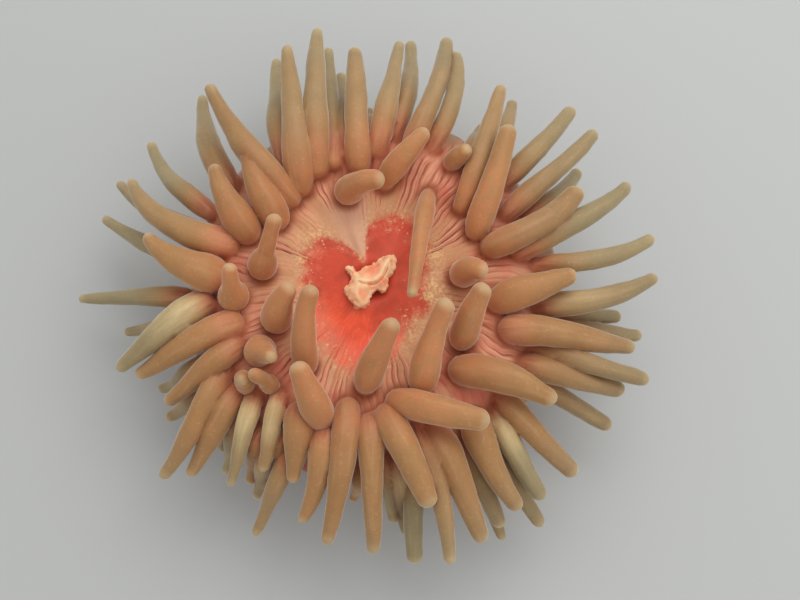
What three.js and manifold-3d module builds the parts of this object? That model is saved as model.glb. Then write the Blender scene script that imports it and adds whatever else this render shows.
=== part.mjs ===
// A sea anemone of the genus Urticina, open and at life size, in millimetres with +Z up.
// It stands on its pedal disc, and the origin lies on the floor straight below the mouth.
// Bearings are degrees from +X towards +Y, and heights are measured from the floor.

import * as THREE from "three";
import { mergeVertices } from "three/addons/utils/BufferGeometryUtils.js";
import Module from "manifold-3d";

const wasm = await Module();
wasm.setup();

// Driving sizes
const slit = 0.3; // space between pieces that touch
const footRadius = 57; // flat underside of the pedal disc
const waistRadius = 48.5; // narrowest part of the column
const collarRadius = 66; // parapet at the top of the column
const collarHeight = 44.7;
const discRadius = 40; // oral disc, up to the first tentacles
const rimRadius = 79; // outer edge of the margin, where the last tentacles grow
const rimHeight = 40;
const crownTopHeight = 60; // swollen ring that carries the tentacles
const mouthHeight = 57;
const lipRise = 1.5; // middle of the lip lobes above the disc

// Fineness of the faceted shapes
const columnSides = 26;
const sectorSteps = 1;
const lobeSides = 6;
const mergeWithin = 0.2; // slivers finer than this are merged away

// Outline of the column, as height and radius
const columnStations = [
  [0, footRadius],
  [3, footRadius + 2],
  [9, footRadius - 4],
  [20, waistRadius],
  [30, waistRadius + 3],
  [38, collarRadius - 8],
  [42.5, collarRadius],
  [collarHeight, collarRadius - 1],
];
const footTop = 9;
const lowerColumnTop = 24;
const upperColumnTop = 38;

// Upper surface of the disc and the margin, as radius and height
const crownStations = [
  [0, mouthHeight],
  [25, mouthHeight - 2],
  [35, mouthHeight - 0.5],
  [45, crownTopHeight - 1],
  [59, crownTopHeight - 0.5],
  [70, crownTopHeight - 6],
  [76, rimHeight + 7],
  [rimRadius, rimHeight],
];
const underRimStations = [
  [rimRadius - 10, rimHeight + 1.5],
  [rimRadius - 4, rimHeight - 1.5],
];
const crownFloor = 45;

// A tentacle's narrow root and full belly, as shares of its ring's radius, and where along its
// length, as shares of it, the belly, the taper and the blunt end lie
const rootShare = 0.72;
const bellyShare = 1;
const bellyAt = 0.28;
const taperAt = 0.66;
const bluntAt = 0.95;
const reachShare = 0.38; // how far its curve is drawn towards its first and last headings

// The four rings of tentacles. A row holds the bearing and radius of the root, the bearing,
// reach and height of the tip, the bow to the left in degrees, the girth, and the blunt end's
// share of the belly. The last two numbers, where a row has them, are its own rise at the root
// and at the tip.
const inner = {
  sides: 6,
  radius: 5.2,
  rise: 80,
  dip: 35,
  plug: 2,
  rows: [
    [3, 36, 357.5, 46, 76, 0, 1.15, 0.62, 75, 15],
    [57, 43, 321, 21, 80, 0, 0.78, 0.48, 45, 5],
    [106, 38, 80.5, 36, 78, 0, 1.12, 0.72, 70, 10],
    [175, 43, 151.5, 41, 82, -12, 1.12, 0.55, 85, 30],
    [189, 54, 180, 52, 80, 0, 1.25, 0.42, 85, 40],
    [206, 41, 197, 30, 82, 0, 1.2, 0.6, 80, 35],
    [215, 52, 225, 50, 77, 0, 1.2, 0.46, 85, 60],
    [222, 64, 222.5, 65, 71, 0, 0.78, 0.85, 85, 50],
    [230, 57, 222.5, 60, 74, 0, 0.7, 0.78, 60, 0],
    [236, 43, 204.5, 23, 84, 14, 1, 0.68, 80, 30],
    [252, 59, 235, 46, 80, 0, 1.22, 0.66, 75, 25],
    [268, 43, 292.5, 25, 84, 0, 1.08, 0.68, 80, 35],
    [295, 48, 333.5, 34, 84, 13, 1.1, 0.68, 80, 35],
    [325, 44, 348.5, 45, 84, 3, 1.15, 0.64, 80, 35],
  ],
};
const upper = {
  sides: 6,
  radius: 5.2,
  rise: 55,
  dip: 0,
  plug: 2,
  rows: [
    [15, 50, 23.5, 92, 66, -26, 1.1, 0.65],
    [25, 47, 47.5, 82, 72, -4, 1.06, 0.68],
    [56, 59, 52.5, 64, 73, 0, 0.74, 0.78, 80, 60],
    [83, 42, 69, 63, 72, -5, 0.98, 0.66],
    [126, 48, 109.5, 107, 65, 0, 1.1, 0.42],
    [134, 47, 129, 106, 66, 15, 1.15, 0.42],
    [147, 45, 135.5, 70, 72, 4, 1.32, 0.4],
    [159, 52, 144.5, 77, 70, 14, 1.25, 0.42],
    [179, 60, 169.5, 90, 67, 28, 1.46, 0.36],
    [277, 55, 284.5, 93, 64, 4, 1.2, 0.6],
    [282, 50, 307.5, 74, 76, -8, 1.1, 0.76],
    [313, 51, 324, 87, 69, 12, 1.3, 0.56],
    [349, 51, 0, 81, 68, -4, 1.22, 0.6],
  ],
};
const middle = {
  sides: 5,
  radius: 5.1,
  rise: 35,
  dip: -15,
  plug: 3,
  rows: [
    [6, 68, 10, 118, 50, -22, 0.8, 0.68],
    [11, 61, 22, 116, 52, -12, 0.95, 0.62],
    [27, 62, 35.5, 116, 50, -8, 0.88, 0.64],
    [38, 68, 43, 117, 48, -11, 0.86, 0.72],
    [39, 48, 57.5, 102, 57, -3, 0.9, 0.6],
    [66, 63, 71, 110, 52, -20, 0.82, 0.64],
    [74, 58, 74, 118, 48, -12, 0.9, 0.7],
    [87, 55, 84, 111, 50, -3, 0.92, 0.48],
    [96, 48, 94, 106, 53, 0, 1.02, 0.66],
    [116, 51, 102, 118, 52, 0, 1.12, 0.48],
    [166, 58, 156, 109, 54, 32, 1.15, 0.42],
    [188, 66, 199.5, 106, 52, 0, 1.24, 0.44],
    [199, 56, 202, 100, 50, 0, 1.2, 0.44],
    [208, 59, 211, 94, 50, 3, 1, 0.52],
    [212, 68, 223.5, 112, 47, 11, 1, 0.48],
    [221, 69, 227, 104, 45, 3, 1, 0.5],
    [227, 65, 236, 97, 46, 0, 0.76, 0.54],
    [234, 59, 241.5, 86, 51, 0, 0.74, 0.6],
    [244, 59, 250, 85, 54, 0, 1.2, 0.42],
    [254, 63, 254.5, 98, 48, 18, 1.02, 0.44],
    [261, 52, 261, 104, 51, 8, 1.02, 0.52],
    [271, 57, 271, 106, 50, 0, 0.94, 0.54],
    [287, 64, 286, 114, 50, 10, 0.88, 0.56],
    [293, 66, 293.5, 111, 52, 0, 1.2, 0.52],
    [306, 68, 303, 107, 50, -12, 1.15, 0.58],
    [313, 72, 308.5, 109, 46, -6, 0.98, 0.62],
    [318, 70, 316.5, 111, 50, -8, 1, 0.64],
    [331, 70, 337, 110, 48, -4, 1, 0.64],
    [338, 71, 340, 117, 54, -6, 0.88, 0.66],
    [339, 58, 346, 109, 52, 0, 1.2, 0.5],
    [352, 69, 1.5, 116, 52, -20, 1, 0.52],
  ],
};
const under = {
  sides: 5,
  radius: 4.7,
  rise: 5,
  dip: -15,
  plug: 3,
  rows: [
    [24, 71, 32.5, 107, 33, -10, 0.85, 0.65],
    [48, 74, 55.5, 110, 34, -6, 0.95, 0.6],
    [51, 62, 58, 91, 36, 0, 0.9, 0.6],
    [82, 63, 82, 121, 33, -10, 1, 0.58],
    [90, 59, 91, 85, 36, 0, 0.9, 0.6],
    [101, 55, 98, 107, 30, 0, 0.85, 0.6],
    [107, 52, 100, 118, 34, 0, 0.9, 0.55],
    [125, 60, 111.5, 119, 33, 5, 1.12, 0.44],
    [145, 71, 129.5, 122, 31, 10, 1.2, 0.44],
    [155, 73, 144.5, 121, 33, 14, 0.9, 0.5],
    [164, 66, 155, 122, 34, 14, 0.9, 0.5],
    [174, 74, 163, 122, 32, 4, 0.8, 0.56],
    [184, 74, 180.5, 124, 33, 0, 0.9, 0.46],
    [192, 76, 188, 106, 30, 0, 0.7, 0.55],
    [207, 71, 204, 97, 30, 6, 0.9, 0.5],
    [213, 75, 211, 99, 27, 0, 0.9, 0.5],
    [223, 70, 226.5, 89, 32, 0, 0.9, 0.5],
    [226, 72, 231, 95, 27, 0, 0.9, 0.5],
    [235, 73, 238, 92, 32, 0, 0.95, 0.5],
    [239, 74, 240.5, 96, 24, 0, 0.85, 0.54],
    [241, 69, 242.5, 88, 34, 0, 0.9, 0.5],
    [246, 73, 244.5, 109, 30, 3, 0.85, 0.54],
    [269, 73, 265, 86, 34, 0, 0.8, 0.5],
    [275, 71, 276, 94, 33, 0, 0.85, 0.58],
    [278, 71, 278.5, 99, 27, 0, 0.8, 0.55],
    [285, 75, 279.5, 111, 31, -8, 0.9, 0.8],
    [299, 75, 298.5, 109, 38, 4, 0.95, 0.6],
    [301, 76, 298, 114, 26, 0, 0.85, 0.52],
    [306, 76, 306, 117, 31, 0, 0.95, 0.66],
    [329, 76, 330.5, 113, 32, 0, 0.92, 0.68],
    [347, 76, 351.5, 115, 32, 0, 0.9, 0.6],
    [351, 76, 355, 105, 35, 0, 0.9, 0.64],
  ],
};
const sectorCount = 22;

// The lobes of the lips round the mouth, each as x, y and its three half-sizes
const lipLobes = [
  [-0.8, -0.6, 7, 6, 3.2],
  [-6, 3.6, 5, 3.8, 3.8],
  [4.6, 5.4, 5, 4.8, 4.6],
  [3.2, -1.4, 4.8, 4, 3.8],
  [-3.8, -6, 4.6, 5.2, 4.2],
];
const mouthSlit = { length: 12, width: 1.2, depth: 3.5, bearing: -28 };

// Flesh colours
const flesh = (color) => new THREE.MeshStandardMaterial({ color, roughness: 0.42, metalness: 0 });
const columnFlesh = flesh(0xa8604c);
const marginFlesh = flesh(0xc8846a);
const tentacleFlesh = flesh(0xbd8f6c);
const discFlesh = flesh(0xcc4a35);
const lipFlesh = flesh(0xeebf98);

const degrees = THREE.MathUtils.degToRad;

function between(stations, at) {
  const last = stations.findIndex(([position]) => position >= at);
  if (last < 0) return stations.at(-1)[1];
  if (last === 0) return stations[0][1];
  const [from, low] = stations[last - 1];
  const [to, high] = stations[last];
  return THREE.MathUtils.mapLinear(at, from, to, low, high);
}

function crownHeightAt(radius) {
  return between(crownStations, radius);
}

function polar(bearing, radius, height) {
  const turn = degrees(bearing);
  return new THREE.Vector3(radius * Math.cos(turn), radius * Math.sin(turn), height);
}

function heading(bearing, rise) {
  return polar(bearing, Math.cos(degrees(rise)), Math.sin(degrees(rise)));
}

// A closed geometry as a solid, and a solid as a named mesh
function solidOf(geometry) {
  const bare = geometry.clone();
  bare.deleteAttribute("normal");
  bare.deleteAttribute("uv");
  const merged = mergeVertices(bare, 1e-4);
  return new wasm.Manifold(
    new wasm.Mesh({
      numProp: 3,
      vertProperties: merged.attributes.position.array,
      triVerts: new Uint32Array(merged.index.array),
    }),
  );
}

function meshOf(name, solid, material) {
  const { vertProperties, triVerts } = solid.getMesh();
  const geometry = new THREE.BufferGeometry();
  geometry.setAttribute("position", new THREE.BufferAttribute(vertProperties, 3));
  geometry.setIndex(new THREE.BufferAttribute(triVerts, 1));
  geometry.computeVertexNormals();
  const mesh = new THREE.Mesh(geometry, material);
  mesh.name = name;
  return mesh;
}

// A solid turned about the vertical axis from radius and height pairs, listed from below
function turned(profile, sides) {
  const points = profile.map(([radius, height]) => new THREE.Vector2(radius, height));
  return solidOf(new THREE.LatheGeometry(points, sides).rotateX(Math.PI / 2));
}

// The column between two heights
function columnBand(from, to) {
  const walls = columnStations.filter(([height]) => height > from && height < to);
  const profile = [[0, from], [between(columnStations, from), from]];
  walls.forEach(([height, radius]) => profile.push([radius, height]));
  profile.push([between(columnStations, to), to], [0, to]);
  return turned(profile, columnSides);
}

// Cross-section of the ring that carries the tentacles, made larger all round by extra
function crownProfile(extra) {
  const hole = discRadius + slit / 2 - extra;
  const lower = underRimStations.map(([radius, height]) => [radius, height - extra]);
  const outer = crownStations
    .filter(([radius]) => radius > discRadius && radius < rimRadius)
    .reverse()
    .map(([radius, height]) => [radius + extra, height + extra]);
  const profile = [
    [hole, crownFloor - extra],
    [collarRadius, crownFloor - extra],
    ...lower,
    [rimRadius + 2 * extra, rimHeight],
    ...outer,
    [hole, crownHeightAt(discRadius) + extra],
  ];
  return profile.map(([radius, height]) => new THREE.Vector2(radius, height));
}

// The stretch of that ring between two bearings, with half a slit left at each end
function crownSector(from, to, extra = 0) {
  const profile = crownProfile(extra);
  const inset = (slit / 2 - extra) / discRadius;
  const start = degrees(from) + inset;
  const length = degrees(to - from) - 2 * inset;
  const latheStart = start + Math.PI / 2; // upright, a lathe starts at a bearing of -90 degrees
  const wall = new THREE.LatheGeometry([...profile, profile[0]], sectorSteps, latheStart, length);
  const lastColumn = sectorSteps * (profile.length + 1);
  const ends = THREE.ShapeUtils.triangulateShape(profile, []).flatMap(([a, b, c]) => [
    [a, b, c],
    [lastColumn + a, lastColumn + c, lastColumn + b],
  ]);
  wall.setIndex([...wall.index.array, ...ends.flat()]);
  return solidOf(wall.rotateX(Math.PI / 2));
}

// One tentacle: a turned, tapered finger bent along a curve from its root to its tip
function tentacle(ring, row, extra = 0) {
  const [rootBearing, rootRadius, tipBearing, tipReach, tipHeight, bow, girth, blunt] = row;
  const [rise, dip] = row.length > 8 ? row.slice(8) : [ring.rise, ring.dip];
  const root = polar(rootBearing, rootRadius, crownHeightAt(rootRadius));
  const tip = polar(tipBearing, tipReach, tipHeight);
  const chord = tip.clone().sub(root);
  const way = THREE.MathUtils.radToDeg(Math.atan2(chord.y, chord.x));
  const pull = reachShare * chord.length();
  const first = heading(way + bow, rise);
  const last = heading(way - bow, dip);
  const curve = new THREE.CubicBezierCurve3(
    root,
    root.clone().addScaledVector(first, pull),
    tip.clone().addScaledVector(last, -pull),
    tip.clone().addScaledVector(last, extra),
  );
  const stations = [
    [-1, rootShare],
    [bellyAt, bellyShare],
    [taperAt, (bellyShare + blunt) / 2],
    [bluntAt, blunt],
  ];
  const corner = Math.PI / ring.sides;
  const fullRadius = (ring.radius * girth * corner) / Math.sin(corner); // as wide on average as round
  const profile = stations.map(([at, share]) => new THREE.Vector2(share * fullRadius + extra, at));
  const finger = new THREE.LatheGeometry(
    [new THREE.Vector2(0, -1), ...profile, new THREE.Vector2(0, 1)],
    ring.sides,
  );
  const across = heading(way + 90, 0);
  const spots = finger.attributes.position;
  const spot = new THREE.Vector3();
  for (let i = 0; i < spots.count; i += 1) {
    const along = spots.getY(i);
    const forward = curve.getTangent(Math.max(along, 0));
    const beside = across.clone().addScaledVector(forward, -across.dot(forward)).normalize();
    const over = beside.clone().cross(forward);
    spot.copy(curve.getPoint(Math.max(along, 0)));
    spot.addScaledVector(first, Math.min(along, 0) * (ring.plug + extra));
    spot.addScaledVector(beside, spots.getX(i)).addScaledVector(over, spots.getZ(i));
    spots.setXYZ(i, spot.x, spot.y, spot.z);
  }
  return solidOf(finger);
}

function joined(solids) {
  return solids.reduce((whole, solid) => whole.add(solid));
}

function boxesMeet(a, b) {
  const one = a.boundingBox();
  const two = b.boundingBox();
  return [0, 1, 2].every((axis) => one.min[axis] < two.max[axis] && two.min[axis] < one.max[axis]);
}

function largestBody(solid) {
  return solid.decompose().reduce((best, body) => (body.volume() > best.volume() ? body : best));
}

function lips() {
  const lobes = lipLobes.map(([x, y, ...halves]) => {
    const lobe = new THREE.SphereGeometry(1, lobeSides, lobeSides / 2).rotateX(Math.PI / 2);
    return solidOf(lobe.scale(...halves).translate(x, y, mouthHeight + lipRise));
  });
  const { length, width, depth, bearing } = mouthSlit;
  const cut = new THREE.BoxGeometry(length, width, 2 * depth).rotateZ(degrees(bearing));
  return joined(lobes).subtract(solidOf(cut.translate(0, 0, mouthHeight + lipRise + depth)));
}

// The oral disc, dished round the mouth
function oralDisc(extra = 0) {
  const radius = discRadius - slit / 2 + extra;
  const top = crownStations
    .filter(([station]) => station < discRadius)
    .reverse()
    .map(([station, height]) => [station, height + extra]);
  const rim = [radius, crownHeightAt(discRadius) + extra];
  return turned([[0, crownFloor - extra], [radius, crownFloor - extra], rim, ...top], columnSides);
}

const anemone = new THREE.Group();
const taken = []; // the members placed so far, each as it is and with the slit round it

// Adds a piece made of members, less the room of the earlier members that it would run into
function place(name, material, members) {
  const whole = joined(members.map(({ core }) => core));
  const shape = taken
    .filter(({ core }) => boxesMeet(core, whole) && core.intersect(whole).volume() > 0)
    .reduce((rest, { room }) => rest.subtract(room), whole);
  anemone.add(meshOf(name, largestBody(shape).simplify(mergeWithin), material));
  taken.push(...members);
}

function numbered(name, index) {
  return `${name}_${String(index + 1).padStart(2, "0")}`;
}

// The tentacles that stand free over the disc, each a piece of its own
const seatedTentacle = (ring, row) => ({
  core: tentacle(ring, row),
  room: tentacle(ring, row, slit),
});
inner.rows.forEach((row, i) => {
  place(numbered("tentacle_inner", i), tentacleFlesh, [seatedTentacle(inner, row)]);
});
upper.rows.forEach((row, i) => {
  place(numbered("tentacle_upper", i), tentacleFlesh, [seatedTentacle(upper, row)]);
});

// The margin in sectors, each joined with the tentacles whose roots it holds
const seated = [middle, under]
  .flatMap((ring) => ring.rows.map((row) => ({ ring, row })))
  .sort((a, b) => a.row[0] - b.row[0]);
const firstOf = (sector) => Math.round((sector * seated.length) / sectorCount);
const edgeBefore = (index) => {
  const before = seated.at(index - 1).row[0] - (index === 0 ? 360 : 0);
  const after = seated[index % seated.length].row[0] + (index === seated.length ? 360 : 0);
  return (before + after) / 2;
};
for (let sector = 0; sector < sectorCount; sector += 1) {
  const start = firstOf(sector);
  const end = firstOf(sector + 1);
  const edges = [edgeBefore(start), edgeBefore(end)];
  const base = {
    core: crownSector(...edges),
    room: crownSector(...edges, slit),
  };
  const tentacles = seated.slice(start, end).map(({ ring, row }) => seatedTentacle(ring, row));
  place(numbered("crown", sector), marginFlesh, [base, ...tentacles]);
}

place("oral_disc", discFlesh, [{ core: oralDisc(), room: oralDisc(slit) }]);
place("lips", lipFlesh, [{ core: lips() }]);

// The column below, from the foot up
const columnCuts = [0, footTop, lowerColumnTop, upperColumnTop, collarHeight];
["pedal_disc", "column_lower", "column_upper", "collar"].forEach((name, i) => {
  const top = columnCuts[i + 1] - (name === "collar" ? 0 : slit);
  place(name, columnFlesh, [{ core: columnBand(columnCuts[i], top) }]);
});

export default anemone;
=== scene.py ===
# A sea anemone of the genus Urticina: one skin of flesh over its solids, open on a plain floor.
import math
import random

import bpy
import numpy as np
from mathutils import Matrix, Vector, kdtree, noise


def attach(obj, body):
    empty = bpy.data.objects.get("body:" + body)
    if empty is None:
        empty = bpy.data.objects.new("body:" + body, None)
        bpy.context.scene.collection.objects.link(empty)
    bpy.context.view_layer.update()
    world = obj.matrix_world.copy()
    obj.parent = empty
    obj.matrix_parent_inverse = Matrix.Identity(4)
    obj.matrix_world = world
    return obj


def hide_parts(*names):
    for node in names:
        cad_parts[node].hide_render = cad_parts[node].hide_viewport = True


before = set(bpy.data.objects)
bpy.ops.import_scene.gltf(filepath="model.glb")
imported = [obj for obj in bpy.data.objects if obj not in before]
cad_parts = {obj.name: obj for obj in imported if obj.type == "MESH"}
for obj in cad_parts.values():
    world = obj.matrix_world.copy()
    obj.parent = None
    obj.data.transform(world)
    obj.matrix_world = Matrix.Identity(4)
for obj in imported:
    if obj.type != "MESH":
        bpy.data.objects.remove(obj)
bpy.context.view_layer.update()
mm = 0.001

# The camera looks down on the mouth from just in front of it
camera = {
    "place": (12 * mm, -111.2 * mm, 442.3 * mm),
    "tiltDegrees": 15,
    "lens": 45,
    "sensor": 36,
    "nearest": 10 * mm,
}


def addCamera():
    bpy.ops.object.camera_add(
        location=camera["place"], rotation=(math.radians(camera["tiltDegrees"]), 0, 0)
    )
    lensHolder = bpy.context.object
    lensHolder.data.lens = camera["lens"]
    lensHolder.data.sensor_width = camera["sensor"]
    lensHolder.data.clip_start = camera["nearest"]
    bpy.context.scene.camera = lensHolder
    print("camera placed")


# Small helpers for working in object and edit mode


def onlyActive(piece):
    bpy.ops.object.select_all(action="DESELECT")
    piece.select_set(True)
    bpy.context.view_layer.objects.active = piece


def applyModifier(piece, kind, **settings):
    onlyActive(piece)
    modifier = piece.modifiers.new(kind.title(), kind)
    for setting, value in settings.items():
        setattr(modifier, setting, value)
    bpy.ops.object.modifier_apply(modifier=modifier.name)


def removePiece(piece):
    bpy.data.objects.remove(piece, do_unlink=True)


def vertexPlaces(piece):
    places = np.empty(len(piece.data.vertices) * 3)
    piece.data.vertices.foreach_get("co", places)
    return places.reshape(-1, 3)


def moveVertices(piece, places):
    piece.data.vertices.foreach_set("co", places.astype(np.float32).ravel())
    piece.data.update()


def vertexNormals(piece):
    normals = np.empty(len(piece.data.vertices) * 3)
    piece.data.vertices.foreach_get("normal", normals)
    return normals.reshape(-1, 3)


def polar(bearing, radius, height):
    turn = math.radians(bearing)
    return Vector((radius * math.cos(turn), radius * math.sin(turn), height))


def heading(bearing, rise):
    return polar(bearing, math.cos(math.radians(rise)), math.sin(math.radians(rise)))


def roundedPath(stations, spacing):
    # a smooth line through the stations, with a point about every spacing
    points = [Vector(station) for station in stations]
    points = [points[0] * 2 - points[1]] + points + [points[-1] * 2 - points[-2]]
    path = []
    for before, start, end, after in zip(points, points[1:], points[2:], points[3:]):
        steps = max(1, round((end - start).length / spacing))
        for step in range(steps):
            t = step / steps
            path.append(
                0.5
                * (
                    2 * start
                    + (end - before) * t
                    + (2 * before - 5 * start + 4 * end - after) * t * t
                    + (3 * start - before - 3 * end + after) * t * t * t
                )
            )
    path.append(points[-2])
    return path


def ringStack(name, sides, rings):
    # a circle extruded upwards ring by ring and closed at both ends
    # each ring is given as radius and height
    bpy.ops.object.select_all(action="DESELECT")
    bpy.ops.mesh.primitive_circle_add(
        vertices=sides,
        radius=rings[0][0],
        fill_type="NGON",
        location=(0, 0, rings[0][1]),
    )
    piece = bpy.context.object
    piece.name = name
    bpy.ops.object.transform_apply(location=True, rotation=True, scale=True)
    bpy.ops.object.mode_set(mode="EDIT")
    bpy.ops.mesh.select_all(action="SELECT")
    for (wasRadius, wasHeight), (radius, height) in zip(rings, rings[1:]):
        bpy.ops.mesh.extrude_region_move(
            TRANSFORM_OT_translate={"value": (0, 0, height - wasHeight)}
        )
        share = radius / wasRadius
        bpy.ops.transform.resize(
            value=(share, share, 1), center_override=(0, 0, height)
        )
    bpy.ops.mesh.select_all(action="SELECT")
    bpy.ops.mesh.normals_make_consistent(inside=False)
    bpy.ops.object.mode_set(mode="OBJECT")
    return piece


# The crown: the disc round the mouth and the swollen margin. Its lengths are in millimetres, and
# a pair holds the two values between which something sets in or fades
crown = {
    "sides": 540,
    "under": [(50, 44), (62, 44.5), (70, 41.5), (74.5, 39), (77, 38.6)],  # radius and height
    "top": [
        (77, 38.6), (78.6, 41), (77.4, 44.5), (74, 49.5), (70, 53.5), (65, 57), (59, 59.5),
        (52, 60), (45, 59), (35, 56.5), (25, 55), (15, 55.6), (9, 56.4), (5, 54),
    ],
    "underSpacing": 4,
    "topSpacing": 1.7,
    "upperFrom": (42, 48),  # height
    "belowUpTo": (40, 47),
    "swell": 0.8,  # its broad unevenness
    "swellSize": 14,
    # Fine pleats run in towards the mouth, in bundles with smoother skin between
    "pleats": {
        "count": 108,
        "depth": 0.9,
        "crest": 0.35,  # height of a crest against that depth
        "grooveFrom": 0.4,  # on the way from a crest to a groove
        "stray": (0.9, 0.35),  # sideways, in pleats, by the broad and by the fine unevenness
        "strayShift": 100,
        "straySize": 5,
        "seed": 4,
        "ownDepth": (0.45, 1),  # of the shallowest and of the deepest
        "starts": (24, 42),  # radius of the first to start and of the last
        "leadIn": (3, 6),  # before and after its start
        "ends": (64, 74),
        "bundleRadius": 45,
        "bundleStretch": 0.3,
        "bundleSize": 7,
        "bundleEdge": (-0.2, 0.22),
        "betweenBundles": 0.3,
    },
    # Broad folds further out
    "folds": {"count": 21, "depth": 1.5, "stray": 2.2, "starts": (26, 42)},
    # Reach of the red field round the mouth, as bearing and radius
    "redEdge": [
        (0, 21), (18, 24), (40, 28), (60, 31), (82, 28), (92, 24), (101, 10), (112, 10),
        (124, 20), (136, 28), (150, 29), (170, 27), (190, 27), (215, 28), (240, 33), (262, 38),
        (280, 36), (300, 26), (320, 22), (332, 27), (345, 22), (360, 21),
    ],
    # The rim is drawn in on one side
    "narrowSide": {"bearing": 176, "width": 30, "share": 0.05, "starts": (50, 72)},
    # The pale fold that runs in to the lips
    "notch": {"bearing": 106, "width": 7, "rise": 1.3, "starts": (7, 16), "ends": (34, 42)},
    # Patches of cream grit round the red field, as x, y and reach
    "grit": [
        (-21, 17, 6), (-26, 9.5, 4), (-24, 2, 4), (24, 12, 5), (25, -4, 8), (18, -12, 5),
        (13, -20, 6), (-3, 26, 4), (30, -9, 6),
    ],
}  # fmt: skip


def noiseOver(places, size):
    return np.array([noise.noise(Vector(place) / (size * mm)) for place in places])


def smoothStep(values, low, high):
    share = np.clip((values - low) / (high - low), 0, 1)
    return share * share * (3 - 2 * share)


def bell(values, width):
    # 1 at nought, and little beyond the width
    return np.exp(-((values / width) ** 2))


def around(places, x, y, reach):
    # 1 at x and y, and little beyond the reach
    x, y = places[:, 0] / mm - x, places[:, 1] / mm - y
    return np.exp(-(x**2 + y**2) / reach**2)


def pleatsOver(places, radius, bearing, upper, wander):
    # the sideways stray of the pleats, the pleat that each place lies on, and its depth there
    pleats = crown["pleats"]
    broad, fine = pleats["stray"]
    near = noiseOver(places + pleats["strayShift"] * mm, pleats["straySize"])
    stray = broad * wander + fine * near
    phase = bearing / 360 * pleats["count"] + stray
    number = np.floor(phase).astype(int) % pleats["count"]
    chance = np.random.default_rng(pleats["seed"])
    own = chance.uniform(*pleats["ownDepth"], pleats["count"])[number]
    starts = chance.uniform(*pleats["starts"], pleats["count"])[number]
    before, after = pleats["leadIn"]
    depth = smoothStep(radius, starts - before, starts + after)
    depth *= 1 - smoothStep(radius, *pleats["ends"])
    turn = np.radians(bearing)
    aside = [pleats["bundleRadius"] * np.cos(turn), pleats["bundleRadius"] * np.sin(turn)]
    aside = np.column_stack([*aside, pleats["bundleStretch"] * radius]) * mm
    bundle = smoothStep(noiseOver(aside, pleats["bundleSize"]), *pleats["bundleEdge"])
    least = pleats["betweenBundles"]
    depth *= upper * own * (least + (1 - least) * bundle)
    return stray, phase, depth


def crownBody():
    under = roundedPath([(r, z, 0) for r, z in crown["under"]], crown["underSpacing"])
    top = roundedPath([(r, z, 0) for r, z in crown["top"]], crown["topSpacing"])
    rings = [(p.x * mm, p.y * mm) for p in under[:-1] + top]
    body = ringStack("crownBody", crown["sides"], rings)
    places = vertexPlaces(body)
    radius = np.hypot(places[:, 0], places[:, 1]) / mm
    bearing = np.degrees(np.arctan2(places[:, 1], places[:, 0])) % 360
    upper = smoothStep(places[:, 2] / mm, *crown["upperFrom"])
    wander = noiseOver(places, crown["swellSize"])
    stray, phase, pleat = pleatsOver(places, radius, bearing, upper, wander)

    pleats, folds, notch = crown["pleats"], crown["folds"], crown["notch"]
    toGroove = np.abs(phase % 1 - 0.5) * 2
    groove = smoothStep(toGroove, pleats["grooveFrom"], 1)
    rise = pleats["depth"] * pleat * (pleats["crest"] * (1 - toGroove**2) - groove)
    fold = np.cos(np.radians(folds["count"] * bearing) + folds["stray"] * wander)
    rise += folds["depth"] / 2 * fold * smoothStep(radius, *folds["starts"]) * upper
    rise += crown["swell"] * wander * upper
    along = smoothStep(radius, *notch["starts"]) * (1 - smoothStep(radius, *notch["ends"]))
    rise += notch["rise"] * bell(bearing - notch["bearing"], notch["width"]) * along * upper
    places[:, 2] += rise * mm

    side = crown["narrowSide"]
    drawn = side["share"] * bell(bearing - side["bearing"], side["width"])
    places[:, :2] *= (1 - drawn * smoothStep(radius, *side["starts"]))[:, None]
    moveVertices(body, places)

    red = np.interp(bearing, *zip(*crown["redEdge"])) - radius
    grit = sum(around(places, *patch) for patch in crown["grit"])
    below = 1 - smoothStep(places[:, 2] / mm, *crown["belowUpTo"])
    below[: crown["sides"] * (len(under) - 1)] = 1
    return body, {"stray": stray, "pleat": pleat, "red": red, "grit": grit, "below": below}


# The column under it, down to the flat foot, in millimetres
column = {
    "sides": 240,
    "outline": [  # radius and height
        (57, 0), (58.6, 1), (59, 3), (57, 6), (53, 10), (49.6, 15), (48.5, 20), (49, 26),
        (51.5, 31), (56, 36), (61.5, 40), (65.5, 42.5), (66.5, 44), (65, 45.6), (60, 46.5),
        (50, 48),
    ],
    "spacing": 1.7,
    "swell": 0.8,
    "swellSize": 16,
    "wrinkles": {"depth": 0.8, "size": 9, "flatness": 3.2},
    # The scalloped and puckered edge of the foot
    "foot": {
        "height": 9,
        "depth": 0.9,
        "scallops": 29,
        "scallopShare": 0.35,
        "scallopStray": 9,
        "puckerShare": 1.3,
        "puckerSize": 6,
        "puckerFlatness": 0.2,
    },
}  # fmt: skip


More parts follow.
